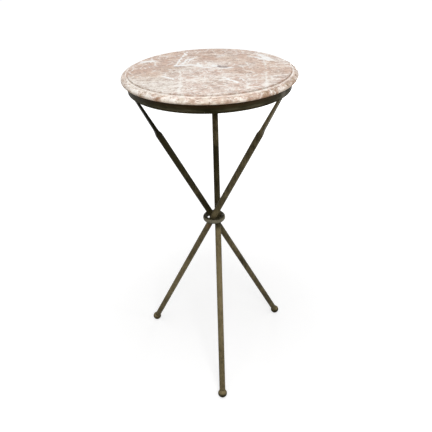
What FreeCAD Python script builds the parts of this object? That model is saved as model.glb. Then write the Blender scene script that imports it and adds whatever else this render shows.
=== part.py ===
import FreeCAD
import Part
import math
import os

# Whole table, in millimetres, standing on the floor with its axis on +Z
table_height = 700.0
overrun = 2.0
leg_names = ["front", "back_right", "back_left"]
front_foot_angle = -90.0
full_turn = 360.0

# Stone top: flat field, two small steps, round nose drawn in underneath
top_diameter = 340.0
nose_width = 13.0
first_step = 2.6
second_step = 1.4
upper_roll = 6.6
lower_roll = 3.9
arris_radius = 0.5
ledge_share = 0.7

# Pads between the stone and the ring
pad_count = 6
pad_diameter = 10.0
pad_thickness = 1.2
pad_bevel = 0.4

# Top ring, rolled from equal angle with the upright leg outside
stone_overhang = 11.0
angle_leg = 17.0
angle_wall = 3.2
angle_heel_radius = 0.8
angle_root_radius = 1.6
angle_toe_radius = 1.0

# Legs of round bar that cross at the waist
rod_diameter = 13.3
crossing_gap = 0.3
foot_circle_radius = 185.0

# Leg tip, forged flat, bent upright and dressed to the curve of the ring
shoulder_drop = 93.0
shoulder_length = 17.0
shoulder_thickness = 6.8
tip_thickness = 3.8
shoulder_sag_share = 0.28
bend_inner_radius = 4.0
tip_seat_gap = 0.1
tip_dressing = 0.2
tip_end_gap = 0.3

# Rivets through the ring and the leg tips, headed to the width of the upright
rivet_head_edge = 0.8
rivet_shank_share = 0.6
rivet_hole_gap = 0.1
rivet_head_height = 1.8

# Waist ring, forged to an oval section that is taller than it is thick
waist_thickness = 9.6
waist_height = 12.2
waist_gap = 0.3

# Ball feet, bored for a spigot on the rod
ball_proud = 3.5
ball_flat_diameter = 5.0
seat_margin = 0.8
spigot_shoulder = 2.4
spigot_length = 9.0
spigot_gap = 0.15
bore_end_gap = 0.5

# Levels and radii that follow from these
top_radius = top_diameter / 2
field_radius = top_radius - nose_width
stone_thickness = first_step + second_step + upper_roll + lower_roll
stone_bottom = table_height - stone_thickness
ring_top = stone_bottom - pad_thickness
ring_bottom = ring_top - angle_leg
ring_outer_radius = top_radius - stone_overhang
ring_inner_radius = ring_outer_radius - angle_wall
flange_inner_radius = ring_outer_radius - angle_leg
flange_bottom = ring_top - angle_wall
rod_radius = rod_diameter / 2
ball_radius = rod_radius + ball_proud
ball_centre_height = math.sqrt(ball_radius ** 2 - (ball_flat_diameter / 2) ** 2)

# Line of a leg, from the ball to the elbow at the lower edge of the ring: the three rods pass
# each other with the crossing gap between them, so their lean and offset are settled together
tongue_radius = ring_inner_radius - tip_seat_gap - tip_thickness / 2 + tip_dressing
elbow_height = ring_bottom
leg_rise = elbow_height - ball_centre_height
axis_offset = 0
for settling_round in range(20):
    foot_run = math.sqrt(foot_circle_radius ** 2 - axis_offset ** 2)
    tongue_run = math.sqrt(tongue_radius ** 2 - axis_offset ** 2)
    lean = math.atan2(foot_run + tongue_run, leg_rise)
    axis_offset = (rod_diameter + crossing_gap) * math.sqrt((1 + math.tan(lean) ** 2 / 4) / 3)
crossing_height = ball_centre_height + foot_run / math.tan(lean)
heading_offset = math.degrees(math.asin(axis_offset / foot_circle_radius))

# Leg tip: the upright stands flat against the inner wall of the ring, square to its radius
tip_turn = math.asin(axis_offset / tongue_radius)
tongue_top = flange_bottom - angle_root_radius - tip_end_gap
elbow_length = leg_rise / math.cos(lean)
bend_radius = bend_inner_radius + rod_radius
bend_tangent = bend_radius * math.tan(lean / 2)
bend_start = elbow_length - bend_tangent
bend_end_height = elbow_height + bend_tangent
upright_length = tongue_top - bend_end_height
shoulder_start = elbow_length - shoulder_drop
shoulder_end = shoulder_start + shoulder_length
seat_offset = math.sqrt(ball_radius ** 2 - (rod_radius + seat_margin) ** 2)
spigot_radius = rod_radius - spigot_shoulder
rivet_height = bend_end_height + upright_length / 2
rivet_head_radius = upright_length / 2 - rivet_head_edge
rivet_radius = rivet_head_radius * rivet_shank_share


def point(x, z):
    return FreeCAD.Vector(x, 0, z)


def line(start, end):
    return Part.makeLine(start, end)


def arc(start, centre, end):
    # Short circular arc from start to end about a centre
    radius = (start - centre).Length
    middle = (start - centre) + (end - centre)
    middle.normalize()
    return Part.Arc(start, centre + middle * radius, end).toShape()


def lathe(edges):
    # Solid of revolution of a closed outline about the table's axis
    face = Part.Face(Part.Wire(edges))
    return face.revolve(FreeCAD.Vector(0, 0, 0), FreeCAD.Vector(0, 0, 1), full_turn)


def along_leg(distance, across):
    # Point in the plane of a leg, measured from the ball along the rod and square to it, outwards
    x = -foot_run + distance * math.sin(lean) + across * math.cos(lean)
    z = ball_centre_height + distance * math.cos(lean) - across * math.sin(lean)
    return point(x, z)


def bar(radius, start, length, direction):
    return Part.makeCylinder(radius, length, start, direction)


def placed(shape, leg_index):
    # Move a piece from the plane of a leg to its place round the table
    turn = full_turn * leg_index / len(leg_names)
    heading = front_foot_angle + full_turn / 2 - heading_offset + turn
    moved = shape.copy()
    moved.translate(FreeCAD.Vector(0, -axis_offset, 0))
    moved.rotate(FreeCAD.Vector(0, 0, 0), FreeCAD.Vector(0, 0, 1), heading)
    return moved


def squared(shape):
    # Turn a piece about the upright of a tip until it is square to the ring
    turned = shape.copy()
    turned.rotate(point(tongue_run, 0), upright, -math.degrees(tip_turn))
    return turned


def save(name, shape):
    shape.exportStep("parts/" + name + ".step")


rod_direction = FreeCAD.Vector(math.sin(lean), 0, math.cos(lean))
upright = FreeCAD.Vector(0, 0, 1)
outwards = FreeCAD.Vector(1, 0, 0)
sideways = FreeCAD.Vector(0, 1, 0)
tip_sideways = FreeCAD.Vector(math.tan(tip_turn), 1, 0)


def make_marble_top():
    first_level = table_height - first_step
    second_level = first_level - second_step
    widest_level = second_level - upper_roll
    upper_centre_radius = top_radius - upper_roll
    lower_centre_radius = top_radius - lower_roll
    ledge_radius = field_radius + (upper_centre_radius - field_radius) * ledge_share
    axis_top = point(0, table_height)
    field_end = point(field_radius - arris_radius, table_height)
    riser_start = point(field_radius, table_height - arris_radius)
    riser_end = point(field_radius, first_level)
    ledge_end = point(ledge_radius - arris_radius, first_level)
    second_start = point(ledge_radius, first_level - arris_radius)
    second_end = point(ledge_radius, second_level)
    nose_start = point(upper_centre_radius, second_level)
    nose_widest = point(top_radius, widest_level)
    nose_end = point(lower_centre_radius, stone_bottom)
    axis_bottom = point(0, stone_bottom)
    return lathe([
        line(axis_top, field_end),
        arc(field_end, point(field_radius - arris_radius, table_height - arris_radius), riser_start),
        line(riser_start, riser_end),
        line(riser_end, ledge_end),
        arc(ledge_end, point(ledge_radius - arris_radius, first_level - arris_radius), second_start),
        line(second_start, second_end),
        line(second_end, nose_start),
        arc(nose_start, point(upper_centre_radius, widest_level), nose_widest),
        arc(nose_widest, point(lower_centre_radius, widest_level), nose_end),
        line(nose_end, axis_bottom),
        line(axis_bottom, axis_top),
    ])


def make_pad():
    # Soft disc with a bevelled upper edge, on the middle of the flange
    radius = pad_diameter / 2
    rim_start = point(radius, ring_top)
    rim_end = point(radius, stone_bottom - pad_bevel)
    face_end = point(radius - pad_bevel, stone_bottom)
    pad = lathe([
        line(point(0, ring_top), rim_start),
        line(rim_start, rim_end),
        line(rim_end, face_end),
        line(face_end, point(0, stone_bottom)),
        line(point(0, stone_bottom), point(0, ring_top)),
    ])
    pad.translate(FreeCAD.Vector((ring_outer_radius + flange_inner_radius) / 2, 0, 0))
    return pad


def make_rivet_bar(radius):
    # Round bar through the tip and the wall of the ring, square to the tip
    start = point(tongue_run - tip_thickness / 2, rivet_height)
    return squared(bar(radius, start, tip_thickness + angle_wall + overrun, outwards))


def make_top_ring():
    heel_out = ring_outer_radius - angle_heel_radius
    heel_down = ring_top - angle_heel_radius
    root_in = ring_inner_radius - angle_root_radius
    root_down = flange_bottom - angle_root_radius
    toe_in = flange_inner_radius + angle_toe_radius
    toe_up = flange_bottom + angle_toe_radius
    foot_in = ring_inner_radius + angle_toe_radius
    foot_up = ring_bottom + angle_toe_radius
    ring = lathe([
        line(point(flange_inner_radius, ring_top), point(heel_out, ring_top)),
        arc(point(heel_out, ring_top), point(heel_out, heel_down), point(ring_outer_radius, heel_down)),
        line(point(ring_outer_radius, heel_down), point(ring_outer_radius, ring_bottom)),
        line(point(ring_outer_radius, ring_bottom), point(foot_in, ring_bottom)),
        arc(point(foot_in, ring_bottom), point(foot_in, foot_up), point(ring_inner_radius, foot_up)),
        line(point(ring_inner_radius, foot_up), point(ring_inner_radius, root_down)),
        arc(point(ring_inner_radius, root_down), point(root_in, root_down), point(root_in, flange_bottom)),
        line(point(root_in, flange_bottom), point(toe_in, flange_bottom)),
        arc(point(toe_in, flange_bottom), point(toe_in, toe_up), point(flange_inner_radius, toe_up)),
        line(point(flange_inner_radius, toe_up), point(flange_inner_radius, ring_top)),
    ])
    for leg_index in range(len(leg_names)):
        hole = make_rivet_bar(rivet_radius + rivet_hole_gap)
        ring = ring.cut(placed(hole, leg_index))
    return ring


def make_forging():
    # Side outline of a leg: full bar up to the shoulder, then a tapering flat that bends upright
    wide = rod_radius + overrun
    low = seat_offset - spigot_length - overrun
    high = tongue_top
    half_shoulder = shoulder_thickness / 2
    half_tip = tip_thickness / 2
    middle = (shoulder_start + shoulder_end) / 2
    sag = half_shoulder + (wide - half_shoulder) * shoulder_sag_share
    bend_centre = along_leg(bend_start, -bend_radius)
    outer_bend_end = point(tongue_run + half_tip, bend_end_height)
    inner_bend_end = point(tongue_run - half_tip, bend_end_height)
    outer_top = point(tongue_run + half_tip, high)
    inner_top = point(tongue_run - half_tip, high)
    outer_shoulder = Part.Arc(
        along_leg(shoulder_start, wide), along_leg(middle, sag), along_leg(shoulder_end, half_shoulder))
    inner_shoulder = Part.Arc(
        along_leg(shoulder_end, -half_shoulder), along_leg(middle, -sag), along_leg(shoulder_start, -wide))
    outline = Part.Wire([
        line(along_leg(low, wide), along_leg(shoulder_start, wide)),
        outer_shoulder.toShape(),
        line(along_leg(shoulder_end, half_shoulder), along_leg(bend_start, half_tip)),
        arc(along_leg(bend_start, half_tip), bend_centre, outer_bend_end),
        line(outer_bend_end, outer_top),
        line(outer_top, inner_top),
        line(inner_top, inner_bend_end),
        arc(inner_bend_end, bend_centre, along_leg(bend_start, -half_tip)),
        line(along_leg(bend_start, -half_tip), along_leg(shoulder_end, -half_shoulder)),
        inner_shoulder.toShape(),
        line(along_leg(shoulder_start, -wide), along_leg(low, -wide)),
        line(along_leg(low, -wide), along_leg(low, wide)),
    ])
    slab = Part.Face(outline).extrude(tip_sideways * (wide + wide))
    slab.translate(tip_sideways * -wide)
    return slab


def make_leg():
    straight = bar(rod_radius, along_leg(seat_offset, 0), bend_start - seat_offset, rod_direction)
    spigot_start = along_leg(seat_offset - spigot_length, 0)
    spigot = bar(spigot_radius, spigot_start, spigot_length, rod_direction)
    section = Part.Face(Part.Wire(Part.makeCircle(rod_radius, along_leg(bend_start, 0), rod_direction)))
    bend_centre = along_leg(bend_start, -bend_radius)
    bend = section.revolve(bend_centre, sideways * -1, math.degrees(lean))
    tongue = bar(rod_radius, point(tongue_run, bend_end_height), upright_length, upright)
    leg = straight.multiFuse([spigot, bend, tongue]).removeSplitter()
    leg = leg.common(make_forging())
    return leg.cut(make_rivet_bar(rivet_radius + rivet_hole_gap))


def dressed(leg):
    # The tip follows the curve of the inner wall of the ring
    seat_radius = ring_inner_radius - tip_seat_gap
    height = angle_leg + overrun + overrun
    low = FreeCAD.Vector(0, 0, ring_bottom - overrun)
    wall = Part.makeCylinder(ring_outer_radius + overrun, height, low)
    core = Part.makeCylinder(seat_radius, height, low)
    return leg.cut(wall.cut(core))


def make_rivet():
    # Low domed head on the inner face of the tip, with a shank through the tip and the wall of the ring
    dome_radius = (rivet_head_radius ** 2 / rivet_head_height + rivet_head_height) / 2
    inner_face = tongue_run - tip_thickness / 2
    shank_end = inner_face + tip_thickness + angle_wall + overrun
    crown = point(inner_face - rivet_head_height, rivet_height)
    dome_centre = point(inner_face - rivet_head_height + dome_radius, rivet_height)
    head_rim = point(inner_face, rivet_height + rivet_head_radius)
    neck = point(inner_face, rivet_height + rivet_radius)
    shank_rim = point(shank_end, rivet_height + rivet_radius)
    shank_tip = point(shank_end, rivet_height)
    outline = Part.Wire([
        arc(crown, dome_centre, head_rim),
        line(head_rim, neck),
        line(neck, shank_rim),
        line(shank_rim, shank_tip),
        line(shank_tip, crown),
    ])
    return squared(Part.Face(outline).revolve(crown, outwards, full_turn))


def flush(rivet):
    # The shank ends level with the outside of the ring
    height = angle_leg + overrun
    outside = Part.makeCylinder(ring_outer_radius, height, FreeCAD.Vector(0, 0, ring_bottom))
    return rivet.common(outside)


def make_ball_foot():
    # Ball with a ground flat underneath, a spot face for the rod and a blind bore for its spigot
    centre = along_leg(0, 0)
    ball = Part.makeSphere(ball_radius, centre)
    side = ball_radius + overrun
    floor_corner = FreeCAD.Vector(centre.x - side, -side, -side)
    floor = Part.makeBox(side + side, side + side, side, floor_corner)
    spot_face = bar(side, along_leg(seat_offset, 0), side, rod_direction)
    bore_depth = spigot_length + bore_end_gap
    bore_start = along_leg(seat_offset - bore_depth, 0)
    bore = bar(spigot_radius + spigot_gap, bore_start, bore_depth, rod_direction)
    return ball.cut(floor).cut(spot_face).cut(bore)


def make_waist_ring():
    # Oval section turned round the axis, clear of the rods where they pass closest to it
    middle_radius = axis_offset + rod_radius + waist_gap + waist_thickness / 2
    centre = point(middle_radius, crossing_height)
    side = point(middle_radius + waist_thickness / 2, crossing_height)
    crown = point(middle_radius, crossing_height + waist_height / 2)
    longer, shorter = (crown, side) if waist_height > waist_thickness else (side, crown)
    return lathe([Part.Ellipse(longer, shorter, centre).toShape()])


os.makedirs("parts", exist_ok=True)

save("marble_top", make_marble_top())
save("top_ring", make_top_ring())
save("waist_ring", make_waist_ring())

pad = make_pad()
for pad_index in range(pad_count):
    turned_pad = pad.copy()
    turned_pad.rotate(FreeCAD.Vector(0, 0, 0), upright, full_turn * pad_index / pad_count)
    save("bumper_pad_" + str(pad_index + 1), turned_pad)

leg = make_leg()
rivet = make_rivet()
ball_foot = make_ball_foot()
for leg_index, leg_name in enumerate(leg_names):
    save("leg_" + leg_name, dressed(placed(leg, leg_index)))
    save("rivet_" + leg_name, flush(placed(rivet, leg_index)))
    save("ball_foot_" + leg_name, placed(ball_foot, leg_index))
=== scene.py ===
import math

import bpy
from mathutils import Matrix, Vector


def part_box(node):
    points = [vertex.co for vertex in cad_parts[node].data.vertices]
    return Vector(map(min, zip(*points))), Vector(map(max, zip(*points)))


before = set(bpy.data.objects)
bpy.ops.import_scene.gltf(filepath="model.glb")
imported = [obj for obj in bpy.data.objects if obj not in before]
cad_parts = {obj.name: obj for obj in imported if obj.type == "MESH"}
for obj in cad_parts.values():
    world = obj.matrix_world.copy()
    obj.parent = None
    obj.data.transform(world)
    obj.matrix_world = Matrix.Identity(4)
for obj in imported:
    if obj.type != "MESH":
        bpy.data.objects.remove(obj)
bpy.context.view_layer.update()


# Legs: three straight rods of half-inch round bar that cross at mid height.
# Each is wrought iron, its upper end forged flat and bent upright against the ring.
# The skin is scale from the fire, hammered and waxed brown, and paler towards the feet, partly rubbed and
# partly painted light.

def place(tree, kind, values=None, **options):
    """Adds a node with its options, and fills its inputs with values or with other nodes' sockets."""
    added = tree.nodes.new(kind)
    for option, choice in options.items():
        setattr(added, option, choice)
    for name, value in (values or {}).items():
        if isinstance(value, bpy.types.NodeSocket):
            tree.links.new(value, added.inputs[name])
        else:
            added.inputs[name].default_value = value
    return added


def new_group(name, takes, gives):
    """Starts a node group with named sockets, and returns it with its two ends."""
    group = bpy.data.node_groups.new(name, "ShaderNodeTree")
    for socket, kind, value in takes:
        taken = group.interface.new_socket(socket, in_out="INPUT", socket_type="NodeSocket" + kind)
        taken.default_value = value
    for socket, kind in gives:
        group.interface.new_socket(socket, in_out="OUTPUT", socket_type="NodeSocket" + kind)
    way_in, way_out = group.nodes.new("NodeGroupInput"), group.nodes.new("NodeGroupOutput")
    return group, way_in.outputs, way_out.inputs


def noise(tree, position, waves_per_metre, detail=3.0, roughness=0.6, seed=0.0):
    """Even noise around one half."""
    return place(tree, "ShaderNodeTexNoise", {
        "Vector": position, "W": seed, "Scale": waves_per_metre, "Detail": detail, "Roughness": roughness,
    }, noise_dimensions="4D").outputs["Fac"]


def ramp(tree, value, low, high, to_low=0.0, to_high=1.0):
    """Smooth step of a value from one level to another."""
    return place(tree, "ShaderNodeMapRange", {
        "Value": value, "From Min": low, "From Max": high, "To Min": to_low, "To Max": to_high,
    }, interpolation_type="SMOOTHSTEP").outputs["Result"]


def reckoned(tree, operation, first, second=0.0, clamp=False):
    """One step of arithmetic."""
    return place(tree, "ShaderNodeMath", {0: first, 1: second}, operation=operation, use_clamp=clamp).outputs[0]


def sum_of(tree, first, second):
    """Two values added."""
    return reckoned(tree, "ADD", first, second)


def part_of(tree, value, share):
    """A share of a value."""
    return reckoned(tree, "MULTIPLY", value, share)


def vector_of(tree, operation, first, second=(0, 0, 0)):
    """One step with places or directions, which gives a vector and a value."""
    return place(tree, "ShaderNodeVectorMath", {0: first, 1: second}, operation=operation).outputs


def tint(tree, share, below, above, blend="MIX"):
    """Lays one colour over another by a share."""
    mixed = place(tree, "ShaderNodeMix", {0: share, 6: below, 7: above}, data_type="RGBA", blend_type=blend)
    return mixed.outputs[2]


scale_black = (0.009, 0.0078, 0.003, 1)
wax_brown = (0.031, 0.0252, 0.0098, 1)
# The rubbed olive is also the colour of painted light where the stops lighten a piece
rubbed_and_lit_olive = (0.19, 0.152, 0.082, 1)
rust_speck = (0.13, 0.062, 0.025, 1)
black_fleck = (0.014, 0.011, 0.007, 1)
fire_brown = (0.16, 0.075, 0.03, 1)
# Near black for the flat tip of one leg, a painted shade
painted_tip_shade = (0.0025, 0.0022, 0.001, 1)
wax_glint = (0.6, 0.54, 0.38, 1)
wax_gloss = 0.08
bare_metal = 0.2
dent_depth = 0.004
along_rod = (1, 1, 0.22)

# Brown patina: dark waxed scale in clouds and streaks, paler where rubbed and where stops paint light, with
# rust specks and black flecks
patina, take, give = new_group("brown patina", [
    ("Position", "Vector", (0, 0, 0)),
    ("Scale Colour", "Color", scale_black),
    ("Wax Colour", "Color", wax_brown),
    ("Rubbed Colour", "Color", rubbed_and_lit_olive),
    ("Rubbed", "Float", 0.0),
    ("Grain", "Vector", along_rod),
    ("Seed", "Float", 0.0),
], [("Color", "Color"), ("Roughness", "Float"), ("Worn", "Float")])
clouds = noise(patina, take["Position"], 17, detail=4.0, roughness=0.5, seed=take["Seed"])
along_grain = vector_of(patina, "MULTIPLY", take["Position"], take["Grain"])[0]
streaks = noise(patina, along_grain, 260, seed=take["Seed"])
specks = noise(patina, take["Position"], 1100, detail=2.0, seed=take["Seed"])
wax_left = ramp(patina, sum_of(patina, clouds, part_of(patina, streaks, 0.5)), 0.5, 1.0)
waxed = tint(patina, wax_left, take["Scale Colour"], take["Wax Colour"])
# The Rubbed share is wear, and also painted light and shade from the stops of each piece
uneven_rub = reckoned(patina, "SUBTRACT", sum_of(patina, streaks, clouds), 1.0)
worn = ramp(patina, sum_of(patina, take["Rubbed"], uneven_rub), -0.1, 1.1)
rubbed = tint(patina, worn, waxed, take["Rubbed Colour"])
rust_share = ramp(patina, part_of(patina, specks, clouds), 0.38, 0.48, 0.0, 0.45)
rusted = tint(patina, rust_share, rubbed, rust_speck)
flecked = tint(patina, ramp(patina, specks, 0.36, 0.28, 0.0, 0.35), rusted, black_fleck)
wax_dullness = ramp(patina, sum_of(patina, streaks, part_of(patina, specks, 0.5)), 0.4, 1.1, 0.4, 0.62)
patina.links.new(flecked, give["Color"])
patina.links.new(wax_dullness, give["Roughness"])
patina.links.new(worn, give["Worn"])

# Hammered skin: broad shallow facets from the hammer, and fine pits of the scale
hammered, take, give = new_group("hammered skin", [
    ("Position", "Vector", (0, 0, 0)),
    ("Facets per Metre", "Float", 90.0),
    ("Pitting", "Float", 0.25),
], [("Height", "Float")])
facets = place(hammered, "ShaderNodeTexVoronoi", {
    "Vector": take["Position"], "Scale": take["Facets per Metre"], "Smoothness": 0.6, "Randomness": 0.9,
}, feature="SMOOTH_F1").outputs["Distance"]
pits = ramp(hammered, noise(hammered, take["Position"], 620), 0.3, 0.55)
hammered.links.new(sum_of(hammered, facets, part_of(hammered, pits, take["Pitting"])), give["Height"])

# Ragged spot: a patch round a point that fades out unevenly, for burnt and bare places
spot, take, give = new_group("ragged spot", [
    ("Position", "Vector", (0, 0, 0)),
    ("Middle", "Vector", (0, 0, 0)),
    ("Reach", "Float", 0.02),
], [("Patch", "Float")])
from_middle = vector_of(spot, "DISTANCE", take["Position"], take["Middle"])["Value"]
reaches_away = reckoned(spot, "DIVIDE", from_middle, take["Reach"])
ragged = sum_of(spot, reaches_away, noise(spot, take["Position"], 120))
spot.links.new(ramp(spot, ragged, 1.3, 0.5), give["Patch"])


def bare_tree(owner):
    """Emptied node tree of a new material or world."""
    owner.use_nodes = True
    owner.node_tree.nodes.clear()
    return owner.node_tree


def point_on(tree):
    """Place of a point on its piece, in the frame's metres."""
    return place(tree, "ShaderNodeTexCoord").outputs["Object"]


def by_height(tree, height, stops):
    """Value that goes smoothly from stop to stop up the piece; a stop is a height and a value."""
    value = stops[0][1]
    for (low, below), (high, above) in zip(stops, stops[1:]):
        value = sum_of(tree, ramp(tree, height, low, high, 0.0, above - below), value)
    return value


def surfaced(tree, relief, strength, depth, sockets):
    """Ends a finish with its surface, dented by a relief."""
    bump = place(tree, "ShaderNodeBump", {"Strength": strength, "Distance": depth, "Height": relief})
    surface = place(tree, "ShaderNodeBsdfPrincipled", {"Normal": bump.outputs["Normal"], **sockets})
    place(tree, "ShaderNodeOutputMaterial", {"Surface": surface.outputs["BSDF"]})


def iron(name, seed, rubs_and_painted_light, stains_and_painted_shade=(), patches=(), facets_per_metre=90.0, dent=0.25,
         rubbed_and_lit_colour=rubbed_and_lit_olive, grain=along_rod):
    """Waxed wrought iron. Rubs are stops up the piece that say how far the wax is rubbed off, and they also
    paint light and shade along it. Stains and painted shades are each stops and a colour, and a patch is a
    middle, a reach, a strength and a colour."""
    material = bpy.data.materials.new(name)
    tree = bare_tree(material)
    position = point_on(tree)
    height = place(tree, "ShaderNodeSeparateXYZ", {0: position}).outputs["Z"]
    finish = place(tree, "ShaderNodeGroup", {
        "Position": position, "Rubbed Colour": rubbed_and_lit_colour, "Rubbed": by_height(tree, height, rubs_and_painted_light),
        "Grain": grain, "Seed": seed,
    }, node_tree=patina).outputs
    colour = finish["Color"]
    for stops, stain_and_shade_colour in stains_and_painted_shade:
        colour = tint(tree, by_height(tree, height, stops), colour, stain_and_shade_colour)
    for middle, reach, strength, patch_colour in patches:
        patch = place(tree, "ShaderNodeGroup", {
            "Position": position, "Middle": middle, "Reach": reach,
        }, node_tree=spot).outputs["Patch"]
        colour = tint(tree, part_of(tree, patch, strength), colour, patch_colour)
    skin = place(tree, "ShaderNodeGroup", {
        "Position": position, "Facets per Metre": facets_per_metre,
    }, node_tree=hammered).outputs["Height"]
    surfaced(tree, skin, dent, dent_depth, {
        "Base Color": colour, "Roughness": finish["Roughness"],
        "Metallic": part_of(tree, finish["Worn"], bare_metal),
        "Specular IOR Level": wax_gloss, "Specular Tint": wax_glint,
    })
    return material


def dress(node, material):
    """Gives a CAD node its finish in place of the plain one."""
    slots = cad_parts[node].data.materials
    slots.clear()
    slots.append(material)


# The rods are burnt brown just below the waist, and the tip of one is painted near black, a painted shade
waist_low, waist_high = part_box("waist_ring")
waist_level = (waist_low.z + waist_high.z) / 2
waist_burn = ((-0.01, -0.004, waist_level - 0.019), 0.014, 0.75, fire_brown)
# Rub stops make each rod paler or darker along its height: partly wear of the wax towards the feet, partly
# painted light and shade, darker under the top and near the waist ring and paler on shaded stretches
leg_finishes = {
    "leg_front": {"seed": 1.3, "rubs_and_painted_light": [
        (0.0, 0.55), (0.2, 0.78), (0.342, 0.78), (0.356, 0.0), (0.42, 0.1),
        (0.48, -0.3), (0.5, -0.3), (0.52, 0.36), (0.55, 0.3), (0.575, 0.1),
    ]},
    "leg_back_right": {"seed": 4.1, "rubs_and_painted_light": [
        (0.0, 0.48), (0.1, 0.36), (0.3, 0.4), (0.37, -0.1),
        (0.4, -0.1), (0.45, 0.12), (0.49, 0.05), (0.525, -0.5),
    ], "stains_and_painted_shade": [([(0.575, 0.0), (0.6, 0.85)], painted_tip_shade)]},
    "leg_back_left": {"seed": 7.7, "rubs_and_painted_light": [
        (0.0, 0.42), (0.14, 0.78), (0.2, 0.82), (0.25, 0.5), (0.34, 0.45), (0.41, 0.4),
    ]},
}
for leg, leg_finish in leg_finishes.items():
    dress(leg, iron("waxed iron " + leg, patches=[waist_burn], **leg_finish))


# Waist ring: a forged collar of oval section that gathers the three rods where they cross.
# Wrought iron, handled more than the rods, so its wax is rubbed greyer.
collar_grey = (0.2, 0.18, 0.128, 1)
# The stops make the collar paler round its middle, a painted highlight, and darker towards both edges
collar_painted_highlight = [
    (waist_low.z + 0.001, 0.2), (waist_level - 0.001, 0.65),
    (waist_level + 0.003, 0.65), (waist_high.z, 0.1),
]
dress("waist_ring", iron("rubbed iron collar", seed=11.2, rubs_and_painted_light=collar_painted_highlight, facets_per_metre=130.0, dent=0.3,
                         rubbed_and_lit_colour=collar_grey))


# Ball feet: three turned iron balls, bored for the spigot of the rod and ground flat underneath.
# The upper half of each is painted paler, a painted highlight, and the half near the floor darker, a painted
# shade.
ball_painted_light = [(0.0105, 0.05), (0.0175, 0.95)]
for number, foot in enumerate(("ball_foot_front", "ball_foot_back_right", "ball_foot_back_left")):
    dress(foot, iron("turned iron ball %d" % (number + 1), seed=20.5 + number, rubs_and_painted_light=ball_painted_light,
                     facets_per_metre=160.0, dent=0.1))


# Top ring: angle iron rolled to a circle, its upright leg outside and its flange turned in.
# It carries the stone, and the flat tips of the legs are riveted inside it.
# The top edge is darker red-brown under the stone, the lower edge is darker, a painted shade, a line just above
# it is paler, partly rubbed and partly a painted highlight, and one joint is worn bare.
ring_low, ring_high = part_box("top_ring")
joint_low, joint_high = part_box("rivet_back_left")
ring_top_red_brown = (0.034, 0.015, 0.0055, 1)
ring_ochre = (0.19, 0.165, 0.115, 1)
joint_grey = (0.19, 0.17, 0.135, 1)
round_ring = (0.15, 0.15, 1)
# Stops: darker along the lower edge, a painted shade, and a paler line above it, partly rubbed and partly a
# painted highlight
ring_finish = {
    "rubs_and_painted_light": [
        (ring_low.z + 0.001, -0.6), (ring_low.z + 0.0035, 0.12),
        (ring_low.z + 0.005, 0.12), (ring_low.z + 0.008, -0.08),
    ],
    "stains_and_painted_shade": [([(ring_high.z - 0.01, 0.0), (ring_high.z - 0.003, 0.65)], ring_top_red_brown)],
    "patches": [((joint_low + joint_high) / 2, 0.02, 0.6, joint_grey)],
    "rubbed_and_lit_colour": ring_ochre,
    "grain": round_ring,
}
dress("top_ring", iron("waxed iron ring", seed=31.4, facets_per_metre=60.0, dent=0.12, **ring_finish))


# Leg rivets: three iron rivets through the tips of the legs, their heads inside and flush outside.
# Set hot and hammered over, with the same waxed finish as the ring.
for number, rivet in enumerate(("rivet_front", "rivet_back_right", "rivet_back_left")):
    dress(rivet, iron("hammered iron rivet %d" % (number + 1), seed=41.0 + number,
                      facets_per_metre=220.0, dent=0.1, **ring_finish))


# Bumper pads: six thin black rubber discs glued on the flange of the ring.
# They carry the loose stone and keep it from the iron.
pad_count = 6
pad_black, pad_grey = (0.012, 0.012, 0.012, 1), (0.03, 0.029, 0.027, 1)
pad_rubber = bpy.data.materials.new("black rubber pad")
rubber = bare_tree(pad_rubber)
rubber_grain = noise(rubber, point_on(rubber), 900)
surfaced(rubber, rubber_grain, strength=0.2, depth=0.0005, sockets={
    "Base Color": tint(rubber, rubber_grain, pad_black, pad_grey),
    "Roughness": ramp(rubber, rubber_grain, 0.3, 0.7, 0.65, 0.85),
})
for number in range(pad_count):
    dress("bumper_pad_%d" % (number + 1), pad_rubber)


# Stone top: a round slab of pink-beige marble with a stepped and rounded edge.
# Turned and polished above and sawn below, with pale calcite veins through its whole thickness.
# It lies loose on the pads and lifts off.
stone_low, stone_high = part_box("marble_top")
stone_radius = (stone_high.x - stone_low.x) / 2
edge_width, nose_width = 0.013, 0.0085
field_radius = stone_radius - edge_width
step_radius = stone_radius - nose_width
millimetre = 0.001
flattened = (1, 1, 0)


def scaled(tree, direction, times):
    """A direction made longer or shorter."""
    return place(tree, "ShaderNodeVectorMath", {0: direction, "Scale": times}, operation="SCALE").outputs[0]


# Vein stroke: a tapering vein from a start to an end, upright through the stone
stroke, take, give = new_group("vein stroke", [
    ("Position", "Vector", (0, 0, 0)),
    ("Start", "Vector", (0, 0, 0)),
    ("End", "Vector", (0.1, 0, 0)),
    ("Start Width", "Float", 0.003),
    ("End Width", "Float", 0.002),
    ("Break", "Float", 0.5),
], [("Vein", "Float")])
from_above = vector_of(stroke, "MULTIPLY", take["Position"], flattened)[0]
from_start = vector_of(stroke, "SUBTRACT", from_above, take["Start"])[0]
run = vector_of(stroke, "SUBTRACT", take["End"], take["Start"])[0]
along_run = vector_of(stroke, "DOT_PRODUCT", from_start, run)["Value"]
whole_run = vector_of(stroke, "DOT_PRODUCT", run, run)["Value"]
along = reckoned(stroke, "DIVIDE", along_run, whole_run, clamp=True)
off = vector_of(stroke, "DISTANCE", from_start, scaled(stroke, run, along))["Value"]
width = place(stroke, "ShaderNodeMix", {0: along, 2: take["Start Width"], 3: take["End Width"]}).outputs[0]
crumble = noise(stroke, take["Position"], 230, detail=5.0, roughness=0.75)
broken = part_of(stroke, reckoned(stroke, "SUBTRACT", crumble, 0.5), take["Break"])
spread = sum_of(stroke, reckoned(stroke, "DIVIDE", off, width), broken)
halo = ramp(stroke, spread, 2.2, 0.9, 0.0, 0.25)
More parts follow.
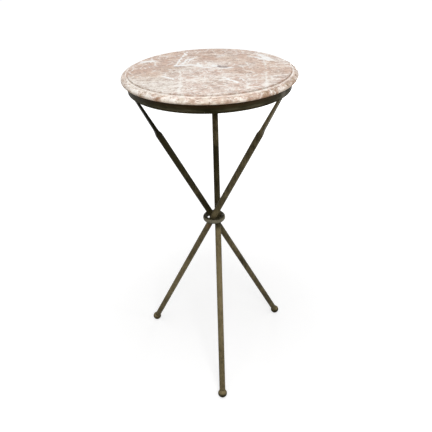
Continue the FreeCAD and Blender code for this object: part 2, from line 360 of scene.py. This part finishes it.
dense = ramp(stroke, noise(stroke, take["Position"], 75, detail=4.0, seed=6.0), 0.3, 0.55, 0.8, 1.0)
core = part_of(stroke, ramp(stroke, spread, 1.25, 0.8), dense)
stroke.links.new(reckoned(stroke, "MAXIMUM", core, halo), give["Vein"])

# Stone clouds: patches with soft edges
cloud, take, give = new_group("stone clouds", [
    ("Position", "Vector", (0, 0, 0)),
    ("Patches per Metre", "Float", 12.0),
    ("Seed", "Float", 0.0),
    ("Low", "Float", 0.4),
    ("High", "Float", 0.62),
], [("Cloud", "Float")])
mottle = noise(cloud, take["Position"], take["Patches per Metre"], detail=5.0, roughness=0.62,
               seed=take["Seed"])
cloud.links.new(ramp(cloud, mottle, take["Low"], take["High"]), give["Cloud"])

# Hair veins: a net of threads, broken up by noise
threads, take, give = new_group("hair veins", [
    ("Position", "Vector", (0, 0, 0)),
    ("Cells per Metre", "Float", 40.0),
    ("Thread", "Float", 0.03),
    ("Seed", "Float", 0.0),
], [("Vein", "Float")])
crack = place(threads, "ShaderNodeTexVoronoi", {
    "Vector": take["Position"], "W": take["Seed"], "Scale": take["Cells per Metre"],
}, feature="DISTANCE_TO_EDGE", voronoi_dimensions="4D").outputs["Distance"]
hair = ramp(threads, crack, 0.0, take["Thread"], 1.0, 0.0)
gaps = ramp(threads, noise(threads, take["Position"], 45, seed=take["Seed"]), 0.47, 0.6)
threads.links.new(part_of(threads, hair, gaps), give["Vein"])

marble = bpy.data.materials.new("veined pink marble")
stone = bare_tree(marble)
stone_position = point_on(stone)


def drifted(waves_per_metre, push):
    """Position in the stone, pushed about so that nothing in it runs straight."""
    wander = place(stone, "ShaderNodeTexNoise", {
        "Vector": stone_position, "Scale": waves_per_metre, "Detail": 4.0, "Roughness": 0.6,
    }).outputs["Color"]
    centred = vector_of(stone, "SUBTRACT", wander, (0.5, 0.5, 0.5))[0]
    return vector_of(stone, "ADD", stone_position, scaled(stone, centred, push))[0]


drift_fine = drifted(60, push=0.014)
drift_broad = drifted(16, push=0.03)
drift_stroke = drifted(75, push=0.022)
drift_rim = drifted(95, push=0.03)
bedded = vector_of(stone, "MULTIPLY", drift_fine, (0.55, 1.3, 1.0))[0]


def clouded(patches_per_metre, position, seed, low, high):
    """Share of a soft patch, which fades in between a low and a high level."""
    return place(stone, "ShaderNodeGroup", {
        "Position": position, "Patches per Metre": patches_per_metre, "Seed": seed, "Low": low, "High": high,
    }, node_tree=cloud).outputs["Cloud"]


def threaded(cells_per_metre, thread, seed):
    """Share of a hair vein."""
    return place(stone, "ShaderNodeGroup", {
        "Position": drift_fine, "Cells per Metre": cells_per_metre, "Thread": thread, "Seed": seed,
    }, node_tree=threads).outputs["Vein"]


def veined(strokes, position, brokenness):
    """Share of the strongest of several vein strokes. Each gives its start, its end and its width at
    the start and at the end, in millimetres on the top."""
    strongest = None
    for start_x, start_y, end_x, end_y, start_width, end_width in strokes:
        share = place(stone, "ShaderNodeGroup", {
            "Position": position, "Break": brokenness,
            "Start": (start_x * millimetre, start_y * millimetre, 0),
            "End": (end_x * millimetre, end_y * millimetre, 0),
            "Start Width": start_width * millimetre, "End Width": end_width * millimetre,
        }, node_tree=stroke).outputs["Vein"]
        strongest = share if strongest is None else reckoned(stone, "MAXIMUM", strongest, share)
    return strongest


def laid(below, mask, share, colour):
    """Lays a colour over the stone by a share of a mask."""
    return tint(stone, part_of(stone, mask, share), below, colour)


def shaded(below, mask, shade):
    """Darkens the stone by a shade where a mask says so."""
    return tint(stone, mask, below, shade, "MULTIPLY")


def away_from(value, level):
    """How far a value lies from a level, to either side."""
    return reckoned(stone, "ABSOLUTE", reckoned(stone, "SUBTRACT", value, level))


# Ground of the stone: pink-beige under rosy, grey and cream clouds, with two cream patches in fixed places
pink_beige = (0.735, 0.58, 0.49, 1)
rosy_brown = (0.62, 0.425, 0.335, 1)
warm_grey = (0.61, 0.555, 0.5, 1)
warm_cream = (0.76, 0.665, 0.555, 1)
pale_cream = (0.77, 0.715, 0.635, 1)
patch_break = 0.9
cream_patches = veined([
    (-122, -58, -84, -106, 40, 34),
    (-80, -3, -50, 14, 24, 20),
], drift_broad, patch_break)
ground = tint(stone, clouded(9, drift_broad, seed=3.0, low=0.4, high=0.62), pink_beige, rosy_brown)
ground = laid(ground, clouded(13, drift_broad, seed=8.0, low=0.52, high=0.7), 0.75, warm_grey)
ground = laid(ground, clouded(11, drift_broad, seed=15.0, low=0.52, high=0.7), 0.6, warm_cream)
ground = laid(ground, cream_patches, 0.8, pale_cream)

# Flecks along the bed of the stone, coarse pale and brown ones first, then fine ones
pale_fleck = (0.96, 0.89, 0.815, 1)
brown_fleck = (0.45, 0.315, 0.245, 1)
fine_pale_fleck = (0.98, 0.93, 0.87, 1)
fine_brown_fleck = (0.4, 0.29, 0.23, 1)
ground = laid(ground, clouded(82, bedded, seed=21.0, low=0.5, high=0.58), 0.95, pale_fleck)
ground = laid(ground, clouded(92, bedded, seed=27.0, low=0.53, high=0.61), 0.9, brown_fleck)
ground = laid(ground, clouded(230, bedded, seed=33.0, low=0.54, high=0.6), 0.9, fine_pale_fleck)
ground = laid(ground, clouded(260, bedded, seed=39.0, low=0.55, high=0.61), 0.85, fine_brown_fleck)

# Rose patches that lie in fixed places, the one at the left deeper than the rest
rose_shade = (0.84, 0.725, 0.645, 1)
deep_rose_shade = (0.9, 0.84, 0.81, 1)
rose_patches = veined([
    (-122, -4, -84, 24, 44, 34),
    (-20, 100, 30, 85, 34, 30),
    (-60, 135, 60, 138, 30, 30),
    (54, 88, 82, 44, 36, 26),
    (50, -10, 84, -24, 26, 26),
    (-126, 62, -78, 108, 32, 32),
    (118, 10, 130, -30, 26, 26),
], drift_broad, patch_break)
deep_rose_patch = veined([(-124, -2, -92, 22, 34, 26)], drift_broad, patch_break)
ground = shaded(ground, rose_patches, rose_shade)
ground = shaded(ground, deep_rose_patch, deep_rose_shade)

# Veins: red-brown threads first, then pale threads, faint broken strokes, white strokes and dark cores
thread_brown = (0.36, 0.23, 0.175, 1)
thread_pale = (0.96, 0.925, 0.88, 1)
faint_calcite = (0.96, 0.925, 0.87, 1)
white_calcite = (0.99, 0.98, 0.955, 1)
core_red = (0.15, 0.065, 0.045, 1)
brown_threads = threaded(34, thread=0.035, seed=5.0)
pale_threads = reckoned(stone, "MAXIMUM", threaded(26, thread=0.05, seed=1.0),
                        threaded(60, thread=0.07, seed=9.0))
faint_strokes = veined([
    (-56, -6, -55, -85, 1.8, 2.6),
    (-55, -85, -57, -152, 2.6, 4.2),
    (-57, -152, -58, -172, 7.0, 9.0),
    (110, 33, 105, -41, 1.8, 2.2),
    (105, -41, 99, -93, 2.2, 2.0),
    (99, -93, 91, -134, 2.0, 3.2),
], drift_stroke, brokenness=2.2)
broken_strokes = part_of(stone, faint_strokes, clouded(60, drift_fine, seed=51.0, low=0.38, high=0.54))
white_strokes = veined([
    (-42, 133, -66, 29, 1.6, 2.4),
    (-63, 29, -33, 33, 5.2, 5.0),
    (-33, 33, -19, 28, 4.6, 3.6),
    (-54, 39, -43, 75, 1.6, 2.6),
    (-43, 75, -31, 79, 3.6, 4.2),
    (-31, 79, -40, 56, 2.6, 1.3),
    (-21, 44, -16, 21, 2.2, 3.0),
    (-19, 18, 3, 4, 4.0, 2.2),
    (14, 17, 37, -1, 9.0, 6.0),
    (85, 83, 113, 53, 1.8, 4.8),
    (113, 53, 124, 47, 5.0, 5.5),
    (107, 89, 124, 47, 4.5, 7.0),
    (-132, 68, -104, 72, 6.5, 3.5),
    (-93, -36, -78, -50, 1.7, 3.6),
    (-78, -50, -68, -59, 3.6, 1.5),
    (26, -64, 44, -94, 1.6, 3.4),
    (52, -70, 58, -80, 1.3, 2.4),
], drift_stroke, brokenness=1.5)
dark_cores = veined([
    (22, 13, 34, 7, 5.2, 3.6),
    (-64, 22, -56, 19, 2.4, 1.4),
], drift_stroke, brokenness=1.2)
ground = laid(ground, brown_threads, 0.6, thread_brown)
ground = laid(ground, pale_threads, 0.85, thread_pale)
ground = laid(ground, broken_strokes, 0.85, faint_calcite)
ground = laid(ground, white_strokes, 0.97, white_calcite)
ground = laid(ground, dark_cores, 0.92, core_red)

# Nose of the stone: darker towards the right, a painted shade, with blotches and pale veins, and darker under
# the turn, a painted shade
painted_side_shade_colour = (0.74, 0.7, 0.65, 1)
blotch_shade = (0.64, 0.54, 0.44, 1)
rim_calcite = (0.98, 0.94, 0.88, 1)
painted_under_nose_shade = (0.84, 0.77, 0.69, 1)
stone_axes = place(stone, "ShaderNodeSeparateXYZ", {0: stone_position}).outputs
sideways, upwards = stone_axes["X"], stone_axes["Z"]
across = vector_of(stone, "MULTIPLY", stone_position, flattened)[0]
radius = vector_of(stone, "LENGTH", across)["Value"]
on_nose = ramp(stone, radius, step_radius, step_radius + 0.002)
under_nose = ramp(stone, upwards, stone_high.z - 0.006, stone_high.z - 0.014)
# Painted shade on the nose, deepening towards the right
painted_side_shade = part_of(stone, on_nose, ramp(stone, sideways, -0.12, 0.14, 0.1, 0.8))
nose_clouds = part_of(stone, on_nose, clouded(62, drift_fine, seed=57.0, low=0.49, high=0.57))
blotches = part_of(stone, nose_clouds, ramp(stone, away_from(sideways, 0.0), 0.02, 0.11, 0.45, 1.0))
rim_strokes = veined([
    (-140, -96, -132, -106, 5.0, 4.5),
    (-114, -124, -108, -130, 3.5, 3.0),
    (-74, -152, -66, -156, 6.0, 5.5),
    (46, -164, 52, -162, 3.0, 2.5),
    (102, -135, 106, -132, 3.0, 2.5),
    (118, -121, 128, -112, 4.0, 3.5),
], drift_rim, brokenness=1.3)
ground = shaded(ground, painted_side_shade, painted_side_shade_colour)
ground = shaded(ground, blotches, blotch_shade)
ground = laid(ground, rim_strokes, 0.7, rim_calcite)
# Painted shade under the turn of the nose
ground = shaded(ground, under_nose, painted_under_nose_shade)

# Steps of the stone: old dirt and painted shade broken along their corners, a pale line on one arris, a painted
# highlight, and one rust stain
dirt_and_shade_brown = (0.2, 0.135, 0.1, 1)
arris_highlight_pale = (0.97, 0.92, 0.86, 1)
rust_stain = (0.33, 0.17, 0.09, 1)
corner_inset = 0.0004
arris_inset = 0.0012
patchy = noise(stone, stone_position, 38, seed=4.0)
upper_side = ramp(stone, upwards, stone_high.z - 0.007, stone_high.z - 0.005)


def dirt_and_shade_near(at_radius, reach):
    """Dirt and painted shade near a radius, as a share, thicker towards the right of the table."""
    near = ramp(stone, away_from(radius, at_radius), reach, reach * 0.25)
    thickness = reckoned(stone, "MULTIPLY", ramp(stone, patchy, 0.3, 0.62, 0.35, 1.0),
                         ramp(stone, sideways, -0.15, 0.12, 0.65, 1.5), clamp=True)
    return part_of(stone, near, thickness)


# Darkening in the step corners: partly old dirt, partly painted shade
inner_dirt_and_shade = dirt_and_shade_near(field_radius + corner_inset, reach=0.0015)
outer_dirt_and_shade = part_of(stone, dirt_and_shade_near(step_radius + corner_inset, reach=0.0011), 0.2)
dirt_and_shade = part_of(stone, reckoned(stone, "MAXIMUM", inner_dirt_and_shade, outer_dirt_and_shade), upper_side)
# Painted highlight along the arris of the second step
near_arris = ramp(stone, away_from(radius, step_radius - arris_inset), 0.0022, 0.0008)
painted_arris_highlight = part_of(stone, near_arris, ramp(stone, patchy, 0.35, 0.6, 0.25, 0.75))
stain = veined([(-96, -141, -91, -144, 2.6, 2.2)], drift_fine, patch_break)
ground = laid(ground, dirt_and_shade, 0.5, dirt_and_shade_brown)
ground = laid(ground, painted_arris_highlight, upper_side, arris_highlight_pale)
ground = laid(ground, stain, 0.6, rust_stain)

# Polish of the stone: patchy above, dull along the step corners and under the nose, with fine open pores
polish_gloss = 0.28
worn_polish = ramp(stone, sum_of(stone, patchy, part_of(stone, dirt_and_shade, 0.5)), 0.3, 1.0, 0.26, 0.6)
pores = ramp(stone, noise(stone, stone_position, 900, detail=2.0), 0.34, 0.44)
surfaced(stone, pores, strength=0.12, depth=0.0006, sockets={
    "Base Color": ground, "Roughness": sum_of(stone, worn_polish, part_of(stone, under_nose, 0.45)),
    "Specular IOR Level": polish_gloss,
})
dress("marble_top", marble)


# Studio floor: a wide white sheet that takes the soft shadow of the table.
# The camera sees it near white, and only its plain paper colour lights the table.
floor_half = 9
paper_grey = (0.5, 0.5, 0.5, 1)
white = (1, 1, 1, 1)
floor_mesh = bpy.data.meshes.new("studio floor")
floor_mesh.from_pydata([
    (-floor_half, -floor_half, 0), (floor_half, -floor_half, 0),
    (floor_half, floor_half, 0), (-floor_half, floor_half, 0),
], [], [(0, 1, 2, 3)])
floor = bpy.data.objects.new("studio_floor", floor_mesh)
bpy.context.scene.collection.objects.link(floor)
paper = bpy.data.materials.new("white paper sweep")
sheet = bare_tree(paper)


def seen_rays(tree):
    """One for rays from the camera, a reflection or through glass, and nothing for the rest."""
    path = place(tree, "ShaderNodeLightPath").outputs
    seen = reckoned(tree, "MAXIMUM", path["Is Camera Ray"], path["Is Glossy Ray"])
    return reckoned(tree, "MAXIMUM", seen, path["Is Transmission Ray"])


from_table = vector_of(sheet, "LENGTH", point_on(sheet))["Value"]
whiteness = ramp(sheet, from_table, 0.2, 1.1, 0.64, 0.95)
glow_level = part_of(sheet, seen_rays(sheet), whiteness)
matt = place(sheet, "ShaderNodeBsdfDiffuse", {"Color": paper_grey})
glow = place(sheet, "ShaderNodeEmission", {"Color": white, "Strength": glow_level})
lit_paper = place(sheet, "ShaderNodeAddShader", {0: matt.outputs[0], 1: glow.outputs[0]})
clear = place(sheet, "ShaderNodeBsdfTransparent")
from_below = place(sheet, "ShaderNodeNewGeometry").outputs["Backfacing"]
one_sided = place(sheet, "ShaderNodeMixShader", {0: from_below, 1: lit_paper.outputs[0], 2: clear.outputs[0]})
place(sheet, "ShaderNodeOutputMaterial", {"Surface": one_sided.outputs[0]})
floor_mesh.materials.append(paper)


# Studio light: large soft boxes overhead and in front, and lower ones at both sides and behind.
# The room round them is pale, and white where the camera or a reflection sees it.

def soft_box(name, stands_at, aims_at, size, power):
    """A square lamp turned towards a point."""
    lamp = bpy.data.lights.new(name, "AREA")
    lamp.shape = "SQUARE"
    lamp.size = size
    lamp.energy = power
    box = bpy.data.objects.new(name, lamp)
    box.location = stands_at
    box.rotation_mode = "QUATERNION"
    box.rotation_quaternion = (Vector(aims_at) - Vector(stands_at)).to_track_quat("-Z", "Y")
    bpy.context.scene.collection.objects.link(box)


table_middle = (0, 0, 0.35)
soft_box("key_soft_box", (0.2, -2.0, 1.9), (0, 0, 0.4), size=1.0, power=29)
soft_box("overhead_soft_box", (-0.1, -0.4, 2.5), (0, 0, 0.5), size=1.6, power=23)
soft_box("side_soft_box", (2.1, -0.9, 0.3), table_middle, size=0.8, power=16)
soft_box("back_soft_box", (0.5, 2.3, 0.32), table_middle, size=0.7, power=14)
soft_box("fill_soft_box", (-2.0, -1.2, 0.3), table_middle, size=1.0, power=9)

room_level = 0.15
room = bpy.data.worlds.new("pale studio room")
bpy.context.scene.world = room
walls = bare_tree(room)
wall_level = sum_of(walls, part_of(walls, seen_rays(walls), 1 - room_level), room_level)
backdrop = place(walls, "ShaderNodeBackground", {"Color": white, "Strength": wall_level})
place(walls, "ShaderNodeOutputWorld", {"Surface": backdrop.outputs[0]})
bpy.context.scene.view_settings.view_transform = "Standard"


# Camera: set where the photograph was taken from, a little above the top and tilted down.
# Its place, tilt and lens were fitted to the rim of the stone, the rods and the feet.
camera_place = (-0.03362, -1.02624, 0.98408)
tilt_down, turn, roll = math.radians(30.869), math.radians(2.112), math.radians(-1.751)
camera_data = bpy.data.cameras.new("camera")
camera_data.lens = 44.6
camera_data.sensor_width = 36
camera = bpy.data.objects.new("camera", camera_data)
camera.matrix_world = (
    Matrix.Translation(camera_place) @ Matrix.Rotation(-turn, 4, "Z")
    @ Matrix.Rotation(math.radians(90) - tilt_down, 4, "X") @ Matrix.Rotation(roll, 4, "Z")
)
bpy.context.scene.collection.objects.link(camera)
bpy.context.scene.camera = camera
